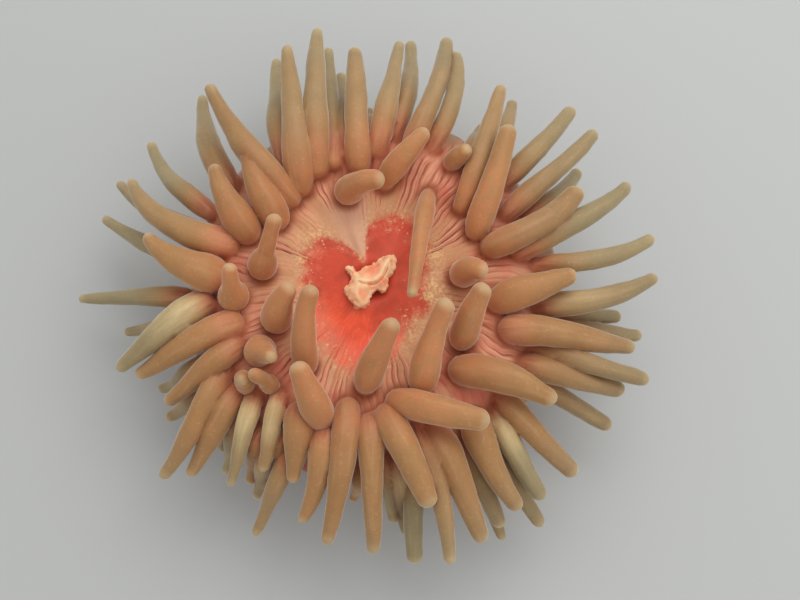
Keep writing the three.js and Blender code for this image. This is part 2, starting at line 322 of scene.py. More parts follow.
def columnBody():
    path = roundedPath([(r, z, 0) for r, z in column["outline"]], column["spacing"])
    rings = [(p.x * mm, max(p.y, 0) * mm) for p in path]
    body = ringStack("columnBody", column["sides"], rings)
    places = vertexPlaces(body)
    bearing = np.arctan2(places[:, 1], places[:, 0])
    wrinkles, foot = column["wrinkles"], column["foot"]
    low = np.clip(1 - places[:, 2] / mm / foot["height"], 0, 1)
    wander = noiseOver(places, column["swellSize"])
    ripple = noiseOver(places * (1, 1, wrinkles["flatness"]), wrinkles["size"])
    swell = wrinkles["depth"] * ripple + column["swell"] * wander * (1 - low)
    scallop = np.cos(foot["scallops"] * bearing + foot["scallopStray"] * wander)
    pucker = noiseOver(places * (1, 1, foot["puckerFlatness"]), foot["puckerSize"])
    edge = foot["scallopShare"] * scallop + foot["puckerShare"] * pucker
    swell += foot["depth"] * low * edge
    places[:, :2] *= (1 + swell * mm / np.hypot(places[:, 0], places[:, 1]))[:, None]
    moveVertices(body, places)
    return body


# The tentacles. Each row holds the bearing and radius of the root, the bearing, reach and height
# of the tip, the bow to the left in degrees, the girth, and the blunt end's share of the belly.
# The last two numbers, where a row has them, are its own rise at the root and at the tip
inner = {
    "name": "inner", "sides": 20, "radius": 5.2, "root": 0.75, "rise": 80, "dip": 35,
    "point": 1,
    "rows": [
        (3, 36, 357.5, 46, 76, 0, 1.15, 0.62, 75, 15),
        (57, 43, 321, 21, 80, 0, 0.78, 0.48, 45, 5),
        (106, 38, 80.5, 36, 78, 0, 1.12, 0.72, 70, 10),
        (175, 43, 151.5, 41, 82, -12, 1.12, 0.55, 85, 30),
        (189, 54, 180, 52, 80, 0, 1.25, 0.42, 85, 40),
        (206, 41, 197, 30, 82, 0, 1.2, 0.6, 80, 35),
        (215, 52, 225, 50, 77, 0, 1.2, 0.46, 85, 60),
        (222, 64, 222.5, 65, 71, 0, 0.78, 0.85, 85, 50),
        (230, 57, 222.5, 60, 74, 0, 0.7, 0.78, 60, 0),
        (236, 43, 204.5, 23, 84, 14, 1, 0.68, 80, 30),
        (252, 59, 235, 46, 80, 0, 1.22, 0.66, 75, 25),
        (268, 43, 292.5, 25, 84, 0, 1.08, 0.68, 80, 35),
        (295, 48, 333.5, 34, 84, 13, 1.1, 0.68, 80, 35),
        (325, 44, 348.5, 45, 84, 3, 1.15, 0.64, 80, 35),
    ],
}  # fmt: skip
upper = {
    "name": "upper", "sides": 20, "radius": 5.2, "root": 0.9, "rise": 55, "dip": 0,
    "point": 1.1,
    "rows": [
        (15, 50, 23.5, 92, 66, -26, 1.1, 0.65),
        (25, 47, 47.5, 82, 72, -4, 1.06, 0.68),
        (56, 59, 52.5, 64, 73, 0, 0.74, 0.78, 80, 60),
        (83, 42, 69, 63, 72, -5, 0.98, 0.66),
        (126, 48, 109.5, 107, 65, 0, 1.1, 0.42),
        (134, 47, 129, 106, 66, 15, 1.15, 0.42),
        (147, 45, 135.5, 70, 72, 4, 1.32, 0.4),
        (159, 52, 144.5, 77, 70, 14, 1.25, 0.42),
        (179, 60, 169.5, 90, 67, 28, 1.46, 0.36),
        (277, 55, 284.5, 93, 64, 4, 1.2, 0.6),
        (282, 50, 307.5, 74, 76, -8, 1.1, 0.76),
        (313, 51, 324, 87, 69, 12, 1.3, 0.56),
        (349, 51, 0, 81, 68, -4, 1.22, 0.6),
    ],
}  # fmt: skip
middle = {
    "name": "middle", "sides": 16, "radius": 5.1, "root": 1, "rise": 35, "dip": -15,
    "point": 1.2,
    "rows": [
        (6, 68, 10, 118, 50, -22, 0.8, 0.68),
        (11, 61, 22, 116, 52, -12, 0.95, 0.62),
        (27, 62, 35.5, 116, 50, -8, 0.88, 0.64),
        (38, 68, 43, 117, 48, -11, 0.86, 0.72),
        (39, 48, 57.5, 102, 57, -3, 0.9, 0.6),
        (66, 63, 71, 110, 52, -20, 0.82, 0.64),
        (74, 58, 74, 118, 48, -12, 0.9, 0.7),
        (87, 55, 84, 111, 50, -3, 0.92, 0.48),
        (96, 48, 94, 106, 53, 0, 1.02, 0.66),
        (116, 51, 102, 118, 52, 0, 1.12, 0.48),
        (166, 58, 156, 109, 54, 32, 1.15, 0.42),
        (188, 66, 199.5, 106, 52, 0, 1.24, 0.44),
        (199, 56, 202, 100, 50, 0, 1.2, 0.44),
        (208, 59, 211, 94, 50, 3, 1, 0.52),
        (212, 68, 223.5, 112, 47, 11, 1, 0.48),
        (221, 69, 227, 104, 45, 3, 1, 0.5),
        (227, 65, 236, 97, 46, 0, 0.76, 0.54),
        (234, 59, 241.5, 86, 51, 0, 0.74, 0.6),
        (244, 59, 250, 85, 54, 0, 1.2, 0.42),
        (254, 63, 254.5, 98, 48, 18, 1.02, 0.44),
        (261, 52, 261, 104, 51, 8, 1.02, 0.52),
        (271, 57, 271, 106, 50, 0, 0.94, 0.54),
        (287, 64, 286, 114, 50, 10, 0.88, 0.56),
        (293, 66, 293.5, 111, 52, 0, 1.2, 0.52),
        (306, 68, 303, 107, 50, -12, 1.15, 0.58),
        (313, 72, 308.5, 109, 46, -6, 0.98, 0.62),
        (318, 70, 316.5, 111, 50, -8, 1, 0.64),
        (331, 70, 337, 110, 48, -4, 1, 0.64),
        (338, 71, 340, 117, 54, -6, 0.88, 0.66),
        (339, 58, 346, 109, 52, 0, 1.2, 0.5),
        (352, 69, 1.5, 116, 52, -20, 1, 0.52),
    ],
}  # fmt: skip
under = {
    "name": "under", "sides": 16, "radius": 4.7, "root": 1, "rise": 5, "dip": -15,
    "point": 1.2,
    "rows": [
        (24, 71, 32.5, 107, 33, -10, 0.85, 0.65),
        (48, 74, 55.5, 110, 34, -6, 0.95, 0.6),
        (51, 62, 58, 91, 36, 0, 0.9, 0.6),
        (82, 63, 82, 121, 33, -10, 1, 0.58),
        (90, 59, 91, 85, 36, 0, 0.9, 0.6),
        (101, 55, 98, 107, 30, 0, 0.85, 0.6),
        (107, 52, 100, 118, 34, 0, 0.9, 0.55),
        (125, 60, 111.5, 119, 33, 5, 1.12, 0.44),
        (145, 71, 129.5, 122, 31, 10, 1.2, 0.44),
        (155, 73, 144.5, 121, 33, 14, 0.9, 0.5),
        (164, 66, 155, 122, 34, 14, 0.9, 0.5),
        (174, 74, 163, 122, 32, 4, 0.8, 0.56),
        (184, 74, 180.5, 124, 33, 0, 0.9, 0.46),
        (192, 76, 188, 106, 30, 0, 0.7, 0.55),
        (207, 71, 204, 97, 30, 6, 0.9, 0.5),
        (213, 75, 211, 99, 27, 0, 0.9, 0.5),
        (223, 70, 226.5, 89, 32, 0, 0.9, 0.5),
        (226, 72, 231, 95, 27, 0, 0.9, 0.5),
        (235, 73, 238, 92, 32, 0, 0.95, 0.5),
        (239, 74, 240.5, 96, 24, 0, 0.85, 0.54),
        (241, 69, 242.5, 88, 34, 0, 0.9, 0.5),
        (246, 73, 244.5, 109, 30, 3, 0.85, 0.54),
        (269, 73, 265, 86, 34, 0, 0.8, 0.5),
        (275, 71, 276, 94, 33, 0, 0.85, 0.58),
        (278, 71, 278.5, 99, 27, 0, 0.8, 0.55),
        (285, 75, 279.5, 111, 31, -8, 0.9, 0.8),
        (299, 75, 298.5, 109, 38, 4, 0.95, 0.6),
        (301, 76, 298, 114, 26, 0, 0.85, 0.52),
        (306, 76, 306, 117, 31, 0, 0.95, 0.66),
        (329, 76, 330.5, 113, 32, 0, 0.92, 0.68),
        (347, 76, 351.5, 115, 32, 0, 0.9, 0.6),
        (351, 76, 355, 105, 35, 0, 0.9, 0.64),
    ],
}  # fmt: skip

# What they share, with lengths in millimetres
tentacles = {
    "rings": 24,  # along the shaft
    "tipRings": 7,
    "tipTurn": 87,  # degrees of its rounding at the last ring
    "sunk": 3.5,  # how deep the root is set in the crown
    "curveSteps": 32,
    "curveHandle": 0.3,
    "reachShare": 0.38,
    # The swelling and taper, at shares of the length
    "bellyAt": 0.28,
    "taperAt": 0.6,
    "fullness": 0.04,
    "endGirth": 0.9,
    "profileSteps": 60,
    # The rounded end set in the crown: its length against its radius, and its rings
    "domeShare": 0.8,
    "domeRings": (0.03, 0.15, 0.35, 0.65, 1),
    "afterDome": 1.3,
    "unevenness": 0.045,
    "waves": (5, 8),  # shortest and longest
    "sway": 0.9,  # how far its length strays sideways
    "swaySize": 26,
    "swayShifts": (300, 600),
    "dents": [(0.32, 8), (0.14, 3)],  # depth and size
    # Pale, greyish ones, as the ring and the place in its rows counted from one
    "pale": {
        "inner": {},
        "upper": {1: 0.2, 5: 0.4, 6: 0.15},
        "middle": {
            1: 0.7, 2: 0.8, 3: 0.5, 4: 0.6, 5: 0.3, 6: 0.6, 7: 0.5, 8: 0.5, 9: 0.3, 10: 0.5,
            11: 0.2, 12: 0.8, 17: 0.6, 18: 0.3, 23: 0.3, 26: 0.9, 28: 0.2, 29: 0.4, 31: 0.5,
        },
        "under": {
            1: 0.8, 2: 0.4, 3: 0.5, 4: 0.6, 5: 0.7, 6: 0.7, 7: 0.7, 8: 0.7, 9: 0.5, 10: 0.8,
            11: 0.5, 12: 0.8, 13: 0.9, 14: 0.8, 15: 0.8, 16: 0.4, 17: 0.8, 18: 0.8, 19: 0.1,
            20: 0.6, 21: 0.7, 22: 0.3, 24: 0.7, 25: 0.7, 26: 0.9, 27: 0.5, 28: 0.4, 29: 0.5,
            30: 0.4, 31: 0.6, 32: 0.8,
        },
    },
    # Those with a bright cream band, partly their own colour and partly a painted highlight
    "cream": {
        "middle": {12: 1, 17: 1, 18: 1.5, 26: 0.9, 31: 0.4},
        "under": {5: 0.6, 20: 0.5, 25: 0.7},
    },
    # Shaft of the inner ones that rise from a swollen base, against that base
    "bulbs": {3: 0.86, 4: 0.58, 5: 0.66, 7: 0.72, 9: 0.7, 11: 0.88, 13: 0.9},
    "bulbBase": [(0.1, 0.94), (0.2, 1)],
    "bulbNeckAt": 0.36,
    "bulbShaftAt": 0.5,
}  # fmt: skip


def crownHeightAt(radius):
    lowest = crown["upperFrom"][0]
    stations = sorted((reach, height) for reach, height in crown["top"] if height > lowest)
    return float(np.interp(radius, *zip(*stations)))


def tentacleTemplate(ring):
    # rings of equal spacing, which each tentacle then takes to its own length and girth
    total = tentacles["rings"] + tentacles["tipRings"]
    rings = [(mm, i * mm) for i in range(total)]
    return ringStack("template_" + ring["name"], ring["sides"], rings)


def tentacleCurve(name, ring, row):
    rootBearing, rootRadius, tipBearing, tipReach, tipHeight, bow = row[:6]
    rise, dip = row[8:10] if len(row) > 8 else (ring["rise"], ring["dip"])
    root = polar(rootBearing, rootRadius, crownHeightAt(rootRadius)) * mm
    tip = polar(tipBearing, tipReach, tipHeight) * mm
    chord = tip - root
    way = math.degrees(math.atan2(chord.y, chord.x))
    pull = tentacles["reachShare"] * chord.length
    first = heading(way + bow, rise)
    last = heading(way - bow, dip)
    sunk = first * tentacles["sunk"] * mm
    handle = tentacles["curveHandle"]
    data = bpy.data.curves.new(name, "CURVE")
    data.dimensions = "3D"
    data.resolution_u = tentacles["curveSteps"]
    spline = data.splines.new("BEZIER")
    spline.bezier_points.add(2)
    stops = [
        (root - sunk, root - sunk * (1 + handle), root - sunk * (1 - handle)),
        (root, root - sunk * handle, root + first * pull),
        (tip, tip - last * pull, tip + last * pull * handle),
    ]
    for stop, (place, before, after) in zip(spline.bezier_points, stops):
        stop.handle_left_type = stop.handle_right_type = "FREE"
        stop.co, stop.handle_left, stop.handle_right = place, before, after
    guide = bpy.data.objects.new(name, data)
    bpy.context.collection.objects.link(guide)
    return guide, data.splines[0].calc_length()


def girthStations(ring, index, blunt):
    # the swelling and taper of the shaft, as share of the free length and of the full girth
    full = tentacles["fullness"]
    swollen = tentacles["bulbs"].get(index) if ring is inner else None
    if swollen:
        neck = (tentacles["bulbNeckAt"], (1 + swollen) / 2 + full)
        return [*tentacles["bulbBase"], neck, (tentacles["bulbShaftAt"], swollen)]
    belly = tentacles["bellyAt"]
    rising = (belly / 2, (ring["root"] + 1) / 2 + full)
    return [rising, (belly, 1), (tentacles["taperAt"], (1 + blunt) / 2 + full)]


def tentacleShape(ring, index, girth, blunt, length, lumps):
    # distance along and radius of every ring of one tentacle
    width = ring["radius"] * girth * mm
    sunk = tentacles["sunk"] * mm
    capLength = blunt * width * ring["point"]
    shaftEnd = length - capLength
    root = ring["root"]
    stations = girthStations(ring, index, blunt)
    knots = [0, sunk, *(sunk + (length - sunk) * at for at, _ in stations), shaftEnd, length]
    shares = [root, root, *(share for _, share in stations), blunt, blunt * tentacles["endGirth"]]
    profile = [(at, share * width, 0) for at, share in zip(knots, shares)]
    fine = roundedPath(profile, length / tentacles["profileSteps"])
    dome = tentacles["domeShare"] * root * width
    start = dome * np.array(tentacles["domeRings"])
    shaftRings = tentacles["rings"] - len(start)
    shaftPart = np.linspace(tentacles["afterDome"] * dome, shaftEnd, shaftRings)
    distances = np.concatenate([start, shaftPart])
    radii = np.interp(distances, [p.x for p in fine], [p.y for p in fine])
    radii *= np.sqrt(1 - (1 - np.minimum(distances / dome, 1)) ** 2)
    phase = lumps.uniform(0, math.tau)
    wave = np.sin(distances / (lumps.uniform(*tentacles["waves"]) * mm) + phase)
    radii *= 1 + tentacles["unevenness"] * wave * np.clip(distances / sunk - 1, 0, 1)
    arc = np.linspace(0, math.pi / 2, tentacles["tipRings"] + 1)[1:]
    arc[-1] = math.radians(tentacles["tipTurn"])
    capAlong = shaftEnd + capLength * np.sin(arc)
    capRadii = radii[-1] * np.cos(arc)
    return np.concatenate([distances, capAlong]), np.concatenate([radii, capRadii])


def roughen(piece, along):
    # dents the skin and lets the shaft stray from its curve
    places = vertexPlaces(piece)
    dents = sum(depth * noiseOver(places, size) for depth, size in tentacles["dents"])
    shifted = [places + shift * mm for shift in tentacles["swayShifts"]]
    sway = [noiseOver(there, tentacles["swaySize"]) for there in shifted]
    places += vertexNormals(piece) * (dents * mm)[:, None]
    for axis, shift in enumerate(sway):
        places[:, axis] += shift * along * tentacles["sway"] * mm
    moveVertices(piece, places)


def makeTentacle(template, ring, index, row):
    name = f"{ring['name']}_{index:02d}"
    lumps = random.Random(name)
    guide, length = tentacleCurve(name + "_guide", ring, row)
    piece = template.copy()
    piece.data = template.data.copy()
    piece.name = name
    bpy.context.collection.objects.link(piece)
    places = vertexPlaces(piece) / mm
    order = np.round(places[:, 2]).astype(int)
    girth, blunt = row[6:8]
    distances, radii = tentacleShape(ring, index, girth, blunt, length, lumps)
    sides = places[:, :2] * radii[order][:, None]
    moveVertices(piece, np.column_stack([distances[order], sides]))
    applyModifier(piece, "CURVE", object=guide, deform_axis="POS_X")
    removePiece(guide)
    sunk = tentacles["sunk"] * mm
    along = np.clip((distances[order] - sunk) / (length - sunk), 0, 1)
    roughen(piece, along)
    return piece, {
        "along": along,
        "pale": tentacles["pale"][ring["name"]].get(index, 0),
        "cream": tentacles["cream"].get(ring["name"], {}).get(index, 0),
        "tone": lumps.random(),
        "roundX": places[:, 0],
        "roundY": places[:, 1],
    }


# The lips: a frilled flap of flesh with three arms, cut by a curved slit, in millimetres
lips = {
    "edge": [
        (-9.9, 6.1), (-6.6, 5.3), (-5, 2.9), (-2.5, 5.3), (2, 7.2), (4.8, 9.4), (8.5, 10.4),
        (10.4, 9.2), (9.8, 3.8), (7.6, 1), (7.2, -2.9), (5.6, -4.8), (2.8, -4.1), (0.7, -5.9),
        (-0.4, -9.6), (-3.4, -11.5), (-6, -10.2), (-9.3, -6.2), (-9.9, -3.6), (-7.9, -0.7),
        (-7.6, 1.9), (-9.6, 4),
    ],
    "edgeSpacing": 0.8,
    "foot": 56.2,  # height at which it rises from the disc
    "thickness": 3.0,
    "topFrom": 1,  # height over the foot at which the top sets in
    "voxel": 0.36,
    "smoothing": 7,
    "swell": 2.4,  # how much higher its middle stands than its rolled edge
    "swellWidth": 2.2,
    # The slit, the ridges beside it, and the sunken, deeper coloured flaps as x, y, reach and depth
    "slit": [(-4.2, -1.5), (-1.4, -2.4), (1.6, -2.3), (4.6, -0.4), (6.2, 2.2), (7.2, 4.6)],
    "slitDepth": 1.3,
    "slitWidth": 0.3,
    "slitTint": 3,  # how far from the slit its colour reaches
    "ridges": [
        [(-5.4, -0.6), (-2, -1.1), (1.2, -0.9), (4, 1.6), (5.8, 5), (7.4, 8)],
        [(-4.4, -2.6), (-5.2, -5), (-4.8, -7.6), (-3.6, -9.6)],
    ],
    "ridgeHeight": 0.3,
    "ridgeWidth": 0.8,
    "ridgeTint": 0.7,
    "flaps": [(0.8, 3.6, 3.6, 1.2), (-3.6, -6.6, 2.4, 0.5), (5.6, -1.4, 1.8, 0.3)],
    "lineSpacing": 0.4,
    "frill": 0.45,
    "frillSize": 2.2,
    "ruffle": 0.6,
    "ruffleSize": 0.9,
    "ruffleFlatness": 0.3,
    "ruffleWidth": 1.1,
}  # fmt: skip


def gapsTo(line, places):
    # distance of every place from a line of x, y stations in millimetres, seen from above
    stations = roundedPath([(x, y, 0) for x, y in line], lips["lineSpacing"])
    path = np.array([(p.x, p.y) for p in stations]) * mm
    sides = places[:, None, :2] - path[None]
    return np.hypot(sides[..., 0], sides[..., 1]).min(axis=1) / mm


def lipBlock(edge):
    # the outline is filled, extruded and rounded
    rim = roundedPath([(x, y, 0) for x, y in edge], lips["edgeSpacing"])[:-1]
    bpy.ops.object.select_all(action="DESELECT")
    bpy.ops.mesh.primitive_circle_add(
        vertices=len(rim), radius=mm, fill_type="NGON", location=(0, 0, 0)
    )
    body = bpy.context.object
    body.name = "lipBody"
    moveVertices(body, np.array([(p.x, p.y, lips["foot"]) for p in rim])[::-1] * mm)
    bpy.ops.object.mode_set(mode="EDIT")
    bpy.ops.mesh.select_all(action="SELECT")
    bpy.ops.mesh.extrude_region_move(
        TRANSFORM_OT_translate={"value": (0, 0, lips["thickness"] * mm)}
    )
    bpy.ops.mesh.select_all(action="SELECT")
    bpy.ops.mesh.normals_make_consistent(inside=False)
    bpy.ops.object.mode_set(mode="OBJECT")
    applyModifier(body, "REMESH", mode="VOXEL", voxel_size=lips["voxel"] * mm)
    applyModifier(body, "SMOOTH", factor=0.5, iterations=lips["smoothing"])
    return body


def lipBody():
    # the block is swollen, slit and ruffled
    edge = lips["edge"] + lips["edge"][:1]
    body = lipBlock(edge)
    places = vertexPlaces(body)
    fromEdge = gapsTo(edge, places)
    slitGaps = gapsTo(lips["slit"], places)
    ridgeGaps = np.minimum(*(gapsTo(line, places) for line in lips["ridges"]))
    flap = sunk = 0
    for x, y, reach, depth in lips["flaps"]:
        share = around(places, x, y, reach)
        flap, sunk = flap + share, sunk + share * depth
    foot, thickness = lips["foot"], lips["thickness"]
    top = smoothStep(places[:, 2] / mm, foot + lips["topFrom"], foot + thickness)
    rise = lips["swell"] * (1 - bell(fromEdge, lips["swellWidth"]))
    rise += lips["ridgeHeight"] * bell(ridgeGaps, lips["ridgeWidth"]) - sunk
    rise -= lips["slitDepth"] * bell(slitGaps, lips["slitWidth"])
    places[:, 2] += rise * top * mm
    frill = lips["frill"] * noiseOver(places, lips["frillSize"])
    ruffle = noiseOver(places * (1, 1, lips["ruffleFlatness"]), lips["ruffleSize"])
    frill += lips["ruffle"] * bell(fromEdge, lips["ruffleWidth"]) * ruffle
    places += vertexNormals(body) * (frill * mm)[:, None]
    moveVertices(body, places)
    return body, {
        "along": np.clip(slitGaps / lips["slitTint"], 0, 1),
        "ridge": bell(ridgeGaps, lips["ridgeTint"]),
        "flap": flap,
    }


# The skin: crown, column, lips and tentacles made one, with its roots rounded into the crown
skinFinish = {
    "rootBlend": 4.2,  # millimetres from the crown over which a root is rounded
    "rootSteps": 22,
    "rootHold": 1.6,
    "fieldSteps": 5,
    # painted shade: how far it reaches between parts that come close
    "touchReach": 2.4,  # millimetres within which two parts darken each other
    "unionSolver": "MANIFOLD",
}
lipsPart = 2  # the crown is part 0, the column 1, the lips 2, and the tentacles follow

# What each point of the skin keeps for its colours, and its value where a part sets no other
plainFields = {
    "along": 0, "pale": 0, "cream": 0, "tone": 0.5, "roundX": 0, "roundY": 0, "stray": 0,
    "pleat": 0, "red": -50, "grit": 0, "ridge": 0, "flap": 0, "below": 0,
}  # fmt: skip
zones = ("crown", "column", "lip", "tentacle")


def treeOf(places):
    tree = kdtree.KDTree(len(places))
    for i, place in enumerate(places):
        tree.insert(place, i)
    tree.balance()
    return tree


def joinSkin(base, others):
    group = bpy.data.collections.new("toJoin")
    bpy.context.scene.collection.children.link(group)
    for other in others:
        group.objects.link(other)
    applyModifier(
        base,
        "BOOLEAN",
        operation="UNION",
        operand_type="COLLECTION",
        collection=group,
        solver=skinFinish["unionSolver"],
    )
    for other in others:
        removePiece(other)
    bpy.data.collections.remove(group)


def growTentacles():
    grown = []
    for ring in (inner, upper, middle, under):
        template = tentacleTemplate(ring)
        for index, row in enumerate(ring["rows"], 1):
            piece, own = makeTentacle(template, ring, index, row)
            grown.append((piece, "tentacle", own))
        removePiece(template)
    print(len(grown), "tentacles grown")
    return grown


def buildSkin():
    crownPiece, crownOwn = crownBody()
    columnPiece = columnBody()
    lipPiece, lipOwn = lipBody()
    print("crown, column and lips shaped")
    parts = [
        (crownPiece, "crown", crownOwn),
        (columnPiece, "column", {"below": 1}),
        (lipPiece, "lip", lipOwn),
        *growTentacles(),
    ]
    spots = [vertexPlaces(piece) for piece, _, _ in parts]
    owners = np.repeat(np.arange(len(parts)), [len(places) for places in spots])
    fields = {}
    for field, plain in {**plainFields, **dict.fromkeys(zones, 0)}.items():
        values = [{zone: 1, **own}.get(field, plain) for _, zone, own in parts]
        spread = [np.broadcast_to(value, len(places)) for value, places in zip(values, spots)]
        fields[field] = np.concatenate(spread)
    spots = np.concatenate(spots)
    joinSkin(crownPiece, [piece for piece, _, _ in parts[1:]])
    crownPiece.name = crownPiece.data.name = "skin"
    keepFields(crownPiece, spots, owners, fields)
    onlyActive(crownPiece)
    bpy.ops.object.shade_smooth()
    triangles = sum(len(face.vertices) - 2 for face in crownPiece.data.polygons)
    print("skin joined:", triangles, "triangles")
    return crownPiece


def keepFields(skin, spots, owners, fields):
    # each point of the skin takes the values of the nearest point of the parts it was made from
    tree = treeOf(spots)
    places = vertexPlaces(skin)
    nearest = np.array([tree.find(place)[1] for place in places])
    onSkin = {field: values[nearest] for field, values in fields.items()}
    onSkin["crease"] = nearRoots(places, onSkin, spots, fields)
    # painted shade where parts come close
    onSkin["touch"] = contactShadeNear(places, owners[nearest], tree, owners)
    roundRoots(skin, onSkin["crease"])
    ends = np.empty(len(skin.data.edges) * 2, dtype=np.int64)
    skin.data.edges.foreach_get("vertices", ends)
    for field in ("crease", "touch", "below", *zones):
        onSkin[field] = spreadField(onSkin[field], ends.reshape(-1, 2))
    for field, values in onSkin.items():
        layer = skin.data.attributes.new(field, "FLOAT", "POINT")
        layer.data.foreach_set("value", values.astype(np.float32))


def nearRoots(places, onSkin, spots, fields):
    # 1 where tentacle and crown meet, falling to 0 over the blend; it rounds the roots and places
    # the partly painted crease shade
    trees = {zone: treeOf(spots[fields[zone] > 0]) for zone in ("crown", "tentacle")}
    reach = skinFinish["rootBlend"] * mm
    weights = np.zeros(len(places))
    for zone, other in (("crown", "tentacle"), ("tentacle", "crown")):
        for i in np.nonzero(onSkin[zone])[0]:
            weights[i] = max(0, 1 - trees[other].find(places[i])[2] / reach)
    return weights


def contactShadeNear(places, own, tree, owners):
    # painted shade: 1 where two parts of the animal other than the lips meet, falling to 0 over the
    # reach
    reach = skinFinish["touchReach"] * mm
    touch = np.zeros(len(places))
    for i in np.nonzero(own != lipsPart)[0]:
        found = tree.find_range(places[i], reach)
        gaps = [gap for _, j, gap in found if owners[j] not in (lipsPart, own[i])]
        if gaps:
            touch[i] = 1 - min(gaps) / reach
    return touch


def roundRoots(skin, weights):
    group = skin.vertex_groups.new(name="roots")
    for i in np.nonzero(weights)[0]:
        weight = min(1, skinFinish["rootHold"] * float(weights[i]))
        group.add([int(i)], weight, "REPLACE")
    applyModifier(
        skin,
        "SMOOTH",
        factor=0.5,
        iterations=skinFinish["rootSteps"],
        vertex_group="roots",
    )


def spreadField(values, edges):
    # averages a value with its neighbours, so that no colour steps from one triangle to the next
    counts = np.bincount(edges.ravel(), minlength=len(values))
    for _ in range(skinFinish["fieldSteps"]):
        sums = np.bincount(edges[:, 0], values[edges[:, 1]], len(values))
        sums += np.bincount(edges[:, 1], values[edges[:, 0]], len(values))
        values = (values + sums / counts) / 2
    return values


# Colours of the flesh, as shown under plain white light
flesh = {
    # where tentacle and crown meet: redder root flesh, partly painted crease shade, paler further
    # out and darker lower down
    "join": (188, 118, 82),
    "joinOuter": (214, 142, 108),
    "joinLow": (164, 98, 72),
    "rootPink": (212, 138, 106),
    "inner": (192, 128, 82),
    "shaft": (171, 126, 79),
    "outer": (156, 130, 93),
    "sandy": (170, 129, 79),
    "tip": (200, 180, 140),
    "paleShaft": (154, 142, 106),
    # the bright cream band, partly a painted highlight
    "streakAndHighlight": (216, 194, 144),
    "fibre": (204, 166, 122),
    "crest": (218, 156, 118),
    "foldPink": (224, 140, 110),
    # the pale crests of the pleats, partly a painted highlight
    "foldPaleAndHighlight": (238, 180, 148),
    "foldRed": (212, 104, 82),
    # the dark of the fold grooves, partly painted shade
    "groove": (162, 80, 56),
    "rim": (180, 130, 92),
    "speckle": (236, 198, 140),
    "disc": (214, 158, 114),
    "red": (212, 78, 48),
    "redDusty": (222, 122, 92),
    "redFaded": (240, 140, 108),
    "notch": (232, 186, 158),
    "redDeep": (184, 66, 42),
    # painted light on the lower side of the red field
    "redPaintedLight": (252, 94, 54),
    "redLine": (255, 168, 122),
    "lip": (255, 204, 158),
    "lipDeep": (244, 136, 98),
    "lipRidge": (255, 228, 178),
    # painted shade where two parts come close
    "contactShadeColour": (206, 166, 146),
    "column": (152, 86, 62),
    "wart": (190, 156, 124),
}


def linear(name):
    shares = [channel / 255 for channel in flesh[name]]
    return [
        s / 12.92 if s <= 0.04045 else ((s + 0.055) / 1.055) ** 2.4 for s in shares
    ] + [1]


class Board:
    # lays nodes in one tree and joins them

    def __init__(self, tree):
        self.tree = tree

    def add(self, kind, inputs=None, **settings):
        node = self.tree.nodes.new(kind)
        for setting, value in settings.items():
            setattr(node, setting, value)
        for socket, value in (inputs or {}).items():
            self.feed(node.inputs[socket], value)
        return node

    def feed(self, socket, value):
        if isinstance(value, bpy.types.NodeSocket):
            self.tree.links.new(value, socket)
        else:
            socket.default_value = value

    def math(self, operation, a, b=0.0, clamp=False):
        inputs = {0: a, 1: b}
        node = self.add("ShaderNodeMath", inputs, operation=operation, use_clamp=clamp)
        return node.outputs[0]

    def times(self, product, *factors, clamp=False):
        for factor in factors:
            product = self.math("MULTIPLY", product, factor, clamp)
        return product

    def timesPlus(self, a, factor, plus, clamp=False):
        inputs = {0: a, 1: factor, 2: plus}
        node = self.add("ShaderNodeMath", inputs, operation="MULTIPLY_ADD", use_clamp=clamp)
        return node.outputs[0]

    def gap(self, a, b):
        return self.math("ABSOLUTE", self.math("SUBTRACT", a, b))

    def between(self, value, ends):
        # 0 at the first end and 1 at the second, or the third number where there is one
        node = self.add(
            "ShaderNodeMapRange",
            {"Value": value, "From Min": ends[0], "From Max": ends[1]},
            interpolation_type="SMOOTHSTEP",
        )
        return self.times(node.outputs[0], *ends[2:])

    def mix(self, share, a, b, how="MIX"):
        node = self.add("ShaderNodeMix", data_type="RGBA", blend_type=how)
        for socket, value in (("Factor", share), (6, a), (7, b)):
            self.feed(node.inputs[socket], value)
        return node.outputs[2]

    def coat(self, colour, name, *factors):
        # covers a colour with another as far as the factors multiply to
        return self.mix(self.times(*factors), colour, linear(name))

    def texture(self, vector, scale, detail=3.0, roughness=0.55):
        node = self.add(
            "ShaderNodeTexNoise",
            {"Vector": vector, "Scale": scale, "Detail": detail, "Roughness": roughness},
        )
        return node.outputs[0]

    def noise(self, vector, size, *fineness):
        # size in millimetres, then detail and roughness
        return self.texture(vector, 1 / (size * mm), *fineness)

    def value(self, name):
        return self.add("ShaderNodeAttribute", attribute_name=name).outputs["Fac"]


# Where the colours lie. A pair holds the values between which a colour sets in, and a third number
# how far it covers those beneath it. A noise is size, detail and roughness. Radii and heights are
# in metres, as the shader has them
sharedLook = {
    "mottle": (9,),
    "grain": (1.1, 4),
    "blotch": (24, 2),
    "patches": (5, 3, 0.6),
    # where the root colour, partly painted crease shade, sets in
    "joining": (0.15, 0.8),
    "joinOuter": (0.044, 0.056),  # radius
    "joinLow": (0.046, 0.038),  # height
    "joinOnCrown": 0.8,
}


